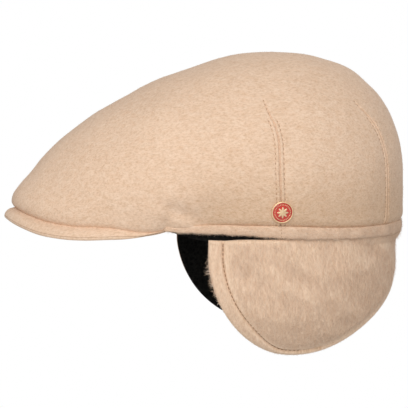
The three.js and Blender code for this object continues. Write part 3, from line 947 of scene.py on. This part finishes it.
def make_peak():
    """The peak's cloth: over its top, round the edge with the seam's groove, and back underneath."""
    sides = np.linspace(-1, 1, PEAK_COLUMNS)
    level = 0 * sides
    width = peak_plan(sides, level)[2]
    beyond = np.maximum(width, PEAK_EDGE_RADIUS + 1) - PEAK_EDGE_RADIUS
    roll = 1 - np.cos(np.linspace(0, pi / 2, 10))
    rows = [("top", PEAK_EDGE_RADIUS + beyond * share) for share in np.linspace(1, 0, 16)[:-1]]
    rows += [("top", PEAK_EDGE_RADIUS * t + level) for t in roll[::-1]]
    rows += [("seam", PEAK_SEAM_DEPTH + level)]
    rows += [("under", PEAK_EDGE_RADIUS * t + level) for t in roll]
    rows += [("under", PEAK_EDGE_RADIUS + beyond * share) for share in np.linspace(0, 1, 12)[1:]]
    lift = PEAK_UNDER_LIFT * smooth(*PEAK_LIFT_SPAN, np.abs(sides))
    lip = 1 - smooth(PEAK_ROLL_TO, 1, np.abs(sides))
    points = []
    for layer, inward in rows:
        inward = np.minimum(inward, width)
        plan = peak_plan(sides, inward)[0]
        under, seam, top = peak_layers(sides, inward)
        seam = seam + lift + LIP_RISE * lip
        curl = np.sqrt(1 - (1 - np.minimum(inward / LIP_WIDTH, 1)) ** 2)
        lower = seam - LIP_DEPTH * lip * curl
        under = mix(lower, under + lift, smooth(LIP_WIDTH, 4 * LIP_WIDTH, inward))
        height = {
            "top": np.maximum(top, seam + PEAK_SEAM_GAP),
            "seam": seam,
            "under": np.minimum(under, seam - PEAK_SEAM_GAP),
        }[layer]
        points.append(raised(plan, height))
    points = np.array(points)
    points[..., 2] += PEAK_LUMPS * ripple(points, 30, 8)
    piece = welded_piece("peak_cloth", points, wool, "wool_cloth", "rows", fill=True)
    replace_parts(piece, "peak_top", "peak_under")
    return points, -grid_normals(points, False), np.array([inward for _, inward in rows])


# Ear flaps

def flap_depth(angle):
    """How far the flap hangs below the rim: a rounded lobe in front and a long curve to the back."""
    away = np.abs(angle)
    depth = rim_height(FLAP_LOBE) - flap_low[2]
    corner = (1 - (FLAP_CORNER_DEPTH / depth) ** FLAP_ROUNDNESS) ** (1 / FLAP_ROUNDNESS)
    share = np.clip(corner * (away - FLAP_LOBE) / (FLAP_FRONT - FLAP_LOBE), 0, 1)
    front = depth * (1 - share**FLAP_ROUNDNESS) ** (1 / FLAP_ROUNDNESS)
    back_share = np.clip((FLAP_LOBE - away) / FLAP_LOBE, 0, 1)
    back = mix(FLAP_BACK_DEPTH, depth, np.cos((pi / 2) * back_share) ** FLAP_BACK_CURVE)
    shorter = FAR_FLAP_SHORTER * smooth(*FAR_SIDE, -angle)
    return np.where(away > FLAP_LOBE, front, back) * (1 - shorter)


def flap_seam_inset(angle):
    """How far the row of stitches runs inside the free edge."""
    return mix(*FLAP_SEAM_INSET, smooth(*FLAP_SEAM_TURN, np.abs(angle)))


def flap_relief(points, off, angle):
    """Puffed cloth, the seam row inside the free edge, and two small tucks under the hem."""
    inset = flap_seam_inset(angle)
    away = np.abs(angle)
    z = points[..., 2]
    shown = smooth(radians(52), radians(68), away)
    seam = ridge(off, -FLAP_SEAM_DEPTH * shown, inset, FLAP_SEAM_WIDTH)
    rim = ridge(off, 1, inset / 2, inset / 1.6)
    puff = FLAP_PUFF * smooth(inset - 1, inset + 7, off)
    slant = (points[..., 1] + z) / math.sqrt(2)
    swell = 0.9 * ripple(points, 44, 12) + 0.3 * ripple(points, 20, 13)
    swell = swell + 0.5 * np.sin(slant * 2 * pi / 24 + 2 * ripple(points, 60, 14))
    swell = swell * smooth(inset, inset + 14, off)
    tuck = ridge(away, -1, radians(82), 0.018) * (1 - np.clip((4 - z) / 16, 0, 1))
    curved = radians(99) - 0.002 * np.maximum(0, -6 - z)
    second = ridge(away, -0.7, curved, 0.016) * smooth(2, -6, z) * (1 - smooth(-18, -32, z))
    return np.maximum(seam + rim + puff + swell + tuck + second, -FLAP_GROOVE_LIMIT)


def lining_relief(points, off, angle):
    """Soft lumps of the fleece."""
    return 0.3 * ripple(points, 26, 21)


def flap_wall(name, walls, grid, inset, short, top_at, relief, edge_radius, material, slot):
    """A hanging layer of cloth with rounded edges, with the grids of both of its sides."""
    inner, outer = walls
    columns, rows = grid
    reach = FLAP_FRONT - inset[0] / BAND_HALF[0]
    angles = reach * np.sin(np.linspace(-pi / 2, pi / 2, columns))
    shares = (1 - np.cos(np.linspace(0, pi, rows))) / 2
    top = top_at(angles)
    bottom = rim_height(angles) - flap_depth(angles * FLAP_FRONT / reach) + inset[1]
    bottom = bottom + short * smooth(*FAR_SIDE, -angles)
    angle, share = np.meshgrid(angles, shares)
    height = mix(top, bottom, share)

    arc = along_path(around_head(angles, np.full_like(angles, outer)))
    flat = np.stack(np.broadcast_arrays(arc, height), axis=-1)
    edge = np.concatenate([flat[:, 0], flat[-1], flat[:, -1]])
    off = np.array([np.min(np.linalg.norm(line[:, None, :] - edge, axis=-1), axis=1) for line in flat])
    nearest = np.minimum(off, top - height)
    rounding = np.sqrt(1 - (1 - np.clip(nearest / edge_radius, 0, 1)) ** 2)

    below = rim_height(angle) - height
    deep = np.maximum(0, below) / (rim_height(FLAP_LOBE) - flap_low[2])
    behind = 1 - smooth(radians(35), radians(65), np.abs(angle))
    centre = (inner + outer) / 2 - FLAP_LEAN * deep**FLAP_LEAN_POWER
    centre = centre - FLAP_BACK_TUCK * smooth(-1, 6, below) * behind
    half = (outer - inner) / 2 * rounding
    outside, inside = (raised(around_head(angle, centre + sign * half), height) for sign in (1, -1))
    normals = grid_normals(outside, False)
    outside = outside + normals * (relief(outside, off, angle) * rounding)[..., None]
    piece = welded_piece(name, np.concatenate([outside, inside[::-1][::4]]), material, slot)
    return SimpleNamespace(piece=piece, outside=outside, inside=inside, normals=normals, off=off, flat=flat)


def flap_stitches(cloth):
    """Stitches along the row inside the flap's free edge, on both sides of the head."""
    flat, outside = cloth.flat, cloth.outside
    angles = np.arctan2(outside[..., 0] / HEAD_HALF[0], outside[..., 1] / HEAD_HALF[1])
    edge, edge_angle = (
        np.concatenate([values[8:, -1], values[-1][::-1][1:]]) for values in (flat, angles)
    )
    ahead = unit(np.gradient(edge, axis=0))
    inward = np.stack([ahead[:, 1], -ahead[:, 0]], axis=-1)
    middle = flat[len(flat) // 4, flat.shape[1] // 2]
    inward *= np.sign(np.sum((middle - edge) * inward, axis=1))[:, None]
    line = edge + inward * flap_seam_inset(edge_angle)[:, None]
    line = line[edge_angle > FLAP_STITCHES_FROM]
    steps = along_path(line)
    path = []
    facing = []
    for at in follow(line, steps, np.arange(0, steps[-1], 0.8)):
        gap = np.sum((flat.reshape(-1, 2) - at) ** 2, axis=1)
        chosen = np.argpartition(gap, 6)[:6]
        weight = 1 / (gap[chosen] + 0.05)
        weight /= weight.sum()
        path.append(weight @ outside.reshape(-1, 3)[chosen])
        facing.append(weight @ cloth.normals.reshape(-1, 3)[chosen])
    rows = []
    for side, sign in (("left", 1), ("right", -1)):
        mirror = np.array([sign, 1, 1])
        name = f"flap_stitches_{side}"
        rows.append(stitches(name, path * mirror, facing * mirror, FLAP_STITCH, dark_thread))
    return rows


def make_flaps():
    """The flaps' wool cloth and their fleece lining."""
    cloth = flap_wall(
        "ear_flap_cloth",
        walls=(FLAP_INNER, FLAP_OUTER), grid=(521, 113), inset=FLAP_CLOTH_INSET, short=FAR_CLOTH_GAP,
        top_at=lambda angle: over_rim(FLAP_TOP, 1, angle), relief=flap_relief,
        edge_radius=FLAP_EDGE_RADIUS, material=flap_wool, slot="flap_cloth",
    )
    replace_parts(cloth.piece, "ear_flap")
    lining = flap_wall(
        "flap_fleece",
        walls=(LINING_INNER, LINING_OUTER), grid=(261, 65), inset=LINING_INSET, short=0,
        top_at=lambda angle: rim_height(angle) + LINING_TUCK, relief=lining_relief,
        edge_radius=LINING_EDGE_RADIUS, material=fleece, slot="black_fleece",
    )
    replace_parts(lining.piece, "flap_lining")
    return cloth, lining


# Sweatband

def make_sweatband():
    """The band inside the rim, with rounded upper and lower edges."""
    angles = circle(240)
    away = pi - np.abs(pi - angles)
    low = rim_height(angles) - SWEATBAND_DROP * (1 - smooth(FLAP_FRONT, PEAK_END, away))
    top = rim_height(angles) + SWEATBAND_HEIGHT
    turns = pi * np.linspace(0, 1, 9)
    across = SWEATBAND_THICKNESS * (1 - np.cos(turns)) / 2
    round_off = 0.8 * (1 - np.sin(turns))
    rows = [(offset, low + drop) for offset, drop in zip(across, round_off)]
    rows += [(SWEATBAND_THICKNESS - offset, top - drop) for offset, drop in zip(across, round_off)]
    piece = welded_piece("inner_band", wall(angles, rows), fleece, "black_fleece", "rows columns")
    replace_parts(piece, "sweatband")


# Badge

def badge_frame():
    """Centre of the badge's back, its outward direction and two directions across its face."""
    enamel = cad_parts["badge_enamel"]
    corners = np.array([v.co for v in enamel.data.vertices]) / MM
    centre = (corners.min(0) + corners.max(0)) / 2
    spread = np.linalg.svd(corners - corners.mean(0))[2]
    outward = spread[2] * np.sign(spread[2][0])
    across = unit(np.cross([0, 0, 1], outward))
    upward = np.cross(outward, across)
    reach = (corners - centre) @ outward
    back = centre + outward * (reach.min() - (BADGE_THICKNESS - BADGE_WELL + 0.1))
    return back, outward, across, upward


def badge_ring(radius, height, turn=circle(72)):
    """Points round the badge's axis, at a radius from it and a height over the badge's back."""
    back, outward, across, upward = badge_frame()
    ring = np.cos(turn)[:, None] * across + np.sin(turn)[:, None] * upward
    height, radius = (np.reshape(value + 0 * turn, (-1, 1)) for value in (height, radius))
    return back + outward * height + ring * radius


def turned(name, rings, material, slot):
    """A round piece of the badge from its rings."""
    return welded_piece(name, np.array(rings), material, slot, "columns")


def enamel_height(radius):
    """Height of the enamel's dome over the badge's back."""
    return ENAMEL_EDGE + ENAMEL_RISE * np.sqrt(np.maximum(0, 1 - (radius / ENAMEL_RADIUS) ** 2))


def make_badge():
    """The metal badge, its domed enamel, the rosette and the ring of dots."""
    inner = -(CROWN_WALL + 4 * CLEARANCE)
    innermost = inner - BADGE_HEAD_THICKNESS
    well = BADGE_RADIUS - BADGE_RIM_WIDTH
    top = BADGE_THICKNESS
    face = top - BADGE_WELL
    edge = BADGE_EDGE_RADIUS
    head = [(0, innermost), (BADGE_HEAD_RADIUS, innermost), (BADGE_HEAD_RADIUS, inner)]
    post = [(BADGE_POST_RADIUS, inner), (BADGE_POST_RADIUS, 0)]
    rim = [(BADGE_RADIUS - 0.4, 0), (BADGE_RADIUS, 0.35)]
    for t in np.linspace(0, pi / 2, 6):
        rim.append((BADGE_RADIUS - edge + edge * math.cos(t), top - edge + edge * math.sin(t)))
    hollow = [(well + 0.1, top), (well, top - 0.1), (well, face), (0, face)]
    rings = [badge_ring(*at) for at in head + post + rim + hollow]
    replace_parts(turned("badge_rim", rings, gilt, "gilt_metal"), "badge_body")

    rings = [badge_ring(0, face + 0.1), badge_ring(ENAMEL_RADIUS, face + 0.1)]
    for t in np.linspace(pi / 2, 0, 12):
        rings.append(badge_ring(ENAMEL_RADIUS * math.sin(t), ENAMEL_EDGE + ENAMEL_RISE * math.cos(t)))
    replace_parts(turned("badge_face", rings, red_enamel, "red_enamel"), "badge_enamel")

    turn = circle(160)
    outline = PETAL_RADIUS * (1 - PETAL_DEPTH + PETAL_DEPTH * np.cos(BADGE_PETALS * turn))
    rings = []
    for share, height in ((1, 0.05), (1, 0.25), (0.9, 0.36), (0.45, 0.3), (0.3, 0.42), (0, 0.5)):
        radius = outline * share if share > 0.5 else outline.mean() * share + 0 * outline
        rings.append(badge_ring(radius, enamel_height(radius) + height, turn))
    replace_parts(turned("badge_flower", rings, gilt, "gilt_metal"), "badge_rosette")

    level = enamel_height(DOT_RING)
    rings = []
    for t in np.linspace(0, pi / 2, 4):
        rings.append(badge_ring(DOT_RADIUS * math.cos(t), level + DOT_HEIGHT * math.sin(t), circle(10)))
    places = badge_ring(DOT_RING, 0, circle(BADGE_DOTS)) - badge_ring(0, 0, circle(1))
    turned("badge_dots", np.array(rings) + places[:, None, None], gilt, "gilt_metal")


# Stage

def aim(thing, azimuth, elevation, distance, aside=0, above=0):
    """Turns a camera or a light to the origin, then moves it aside and upwards in its own view.
    The azimuth and the elevation are in degrees, from the front round by the left side."""
    turn, tilt = radians(azimuth), radians(elevation)
    level = math.cos(tilt)
    backward = np.array([math.sin(turn) * level, -math.cos(turn) * level, math.sin(tilt)])
    right = np.array([math.cos(turn), math.sin(turn), 0])
    thing.location = backward * distance + right * aside + np.cross(backward, right) * above
    thing.rotation_euler = (pi / 2 - tilt, 0, turn)


def make_camera():
    """The camera that took the photograph, moved so that the origin falls in its place."""
    camera = add_object("camera", bpy.data.cameras.new("camera"))
    pixel = PHOTO_PIXEL * MM
    aside = (PHOTO_SIZE / 2 - PHOTO_ORIGIN[0]) * pixel
    above = (PHOTO_ORIGIN[1] - PHOTO_SIZE / 2) * pixel
    aim(camera, CAMERA_AZIMUTH, CAMERA_ELEVATION, CAMERA_DISTANCE * MM, aside, above)
    camera.data.lens = camera.data.sensor_width * CAMERA_DISTANCE / (PHOTO_SIZE * PHOTO_PIXEL)
    camera.data.clip_end = 50
    bpy.context.scene.camera = camera


def add_light(name, azimuth, elevation, distance, size, watts):
    """A soft square light that looks at the origin."""
    light = add_object(name, bpy.data.lights.new(name, "AREA"))
    light.data.energy = watts
    light.data.size = size
    aim(light, azimuth, elevation, distance)


def make_stage():
    """A pale floor under the cap, soft lights and a white studio behind it."""
    mesh = bpy.data.meshes.new("floor")
    turn = circle(96)
    plan = FLOOR_RADIUS * np.stack([np.cos(turn), np.sin(turn)], axis=-1)
    mesh.from_pydata((raised(plan, FLOOR_HEIGHT + 0 * turn) * MM).tolist(), [], [list(range(96))])
    tones = (grey(0.69), grey(0.72))
    mesh.materials.append(grained_material("floor", *tones, (40, 3), Roughness=1.0, Specular_IOR_Level=0.0))
    floor = add_object("floor", mesh)

    world = bpy.data.worlds.new("studio")
    bpy.context.scene.world = world
    nodes = Nodes(world)
    seen = nodes.add("ShaderNodeLightPath").outputs["Is Camera Ray"]
    strength = nodes.add("ShaderNodeMapRange", To_Min=AMBIENT, To_Max=1.0, Value=seen)
    nodes.finish("Background", Color=grey(1), Strength=strength.outputs["Result"])
    add_light("key", *KEY_PLACE, KEY_POWER)
    add_light("back", *BACK_PLACE, BACK_POWER)
    bpy.context.scene.view_settings.view_transform = "Standard"


# Nap, with the ways it is combed

BACKWARD = np.array([[0, 1.0, -0.35]])
FORWARD = np.array([[0, -1.0, -0.3]])
DOWNWARD = np.array([[0, 0.2, -1.0]])


def cap_nap(crown, band, peak):
    """Short nap on the crown, the hem and the peak."""
    fibres("crown_nap", crown, BACKWARD, closed=True)
    fibres("hem_nap", band, DOWNWARD)
    points, normals, inward = peak
    fibres("peak_nap", (points, normals), BACKWARD, field=smooth(0.2, 3.5, inward))


def flap_hairs(cloth):
    """Long nap on the flaps' cloth, shorter at its seam and edges, and stray hairs at the near front."""
    points, off = cloth.outside, cloth.off
    surface = (points, cloth.normals)
    near_side = points[..., 0] > 0
    nap = mix(np.where(near_side, 0.35, 0), 1, smooth(np.where(near_side, 0, 4), 10, off))
    angle = np.arccos(np.clip(points[..., 1] / BAND_HALF[1], -1, 1))
    seam_gap = off - flap_seam_inset(angle)
    nap *= mix(0.1, 1, np.where(seam_gap > 0, smooth(0.6, 7, seam_gap), smooth(0.6, 2.5, -seam_gap)))
    edge = (off < 2) & near_side & (points[..., 1] < -14)
    fuzz = edge * ridge(points[..., 2], 1, -25, 20)
    return [
        fibres("flap_nap", surface, DOWNWARD, slot="flap_cloth", field=nap),
        fibres("flap_fuzz", surface, FORWARD, slot="flap_cloth", tries=60000, field=fuzz),
    ]


def hem_fringe(points, normals):
    """Hairs that hang from the hem's lower edge."""
    lowest = np.zeros(points.shape[:2])
    lowest[:4] = 1
    fibres("hem_fringe", (points, normals), DOWNWARD, tries=60000, field=lowest)


def fleece_hairs(lining):
    """Fuzz on the strip of fleece that shows under the hem, and the nap of the inner side."""
    points, normals = lining.outside, lining.normals
    strip = ((points[..., 2] > -3) & (points[..., 1] < 20)).astype(float)
    look = {"material": fleece_fibre, "slot": "black_fleece"}
    return [
        fibres("strip_fuzz", (points, normals), DOWNWARD, tries=90000, field=strip, **look),
        fibres("fleece_nap", (lining.inside, -normals), DOWNWARD, **look),
    ]


# The cap

crown = make_crown()
band = make_band()
hem_stitches(*band)
peak = make_peak()
flap, flap_lining = make_flaps()
flap_rows = flap_stitches(flap)
make_sweatband()
make_badge()

cap_nap(crown, band, peak)
flap_fibres = flap_hairs(flap)
hem_fringe(*band)
fleece_fibres = fleece_hairs(flap_lining)

make_camera()
make_stage()
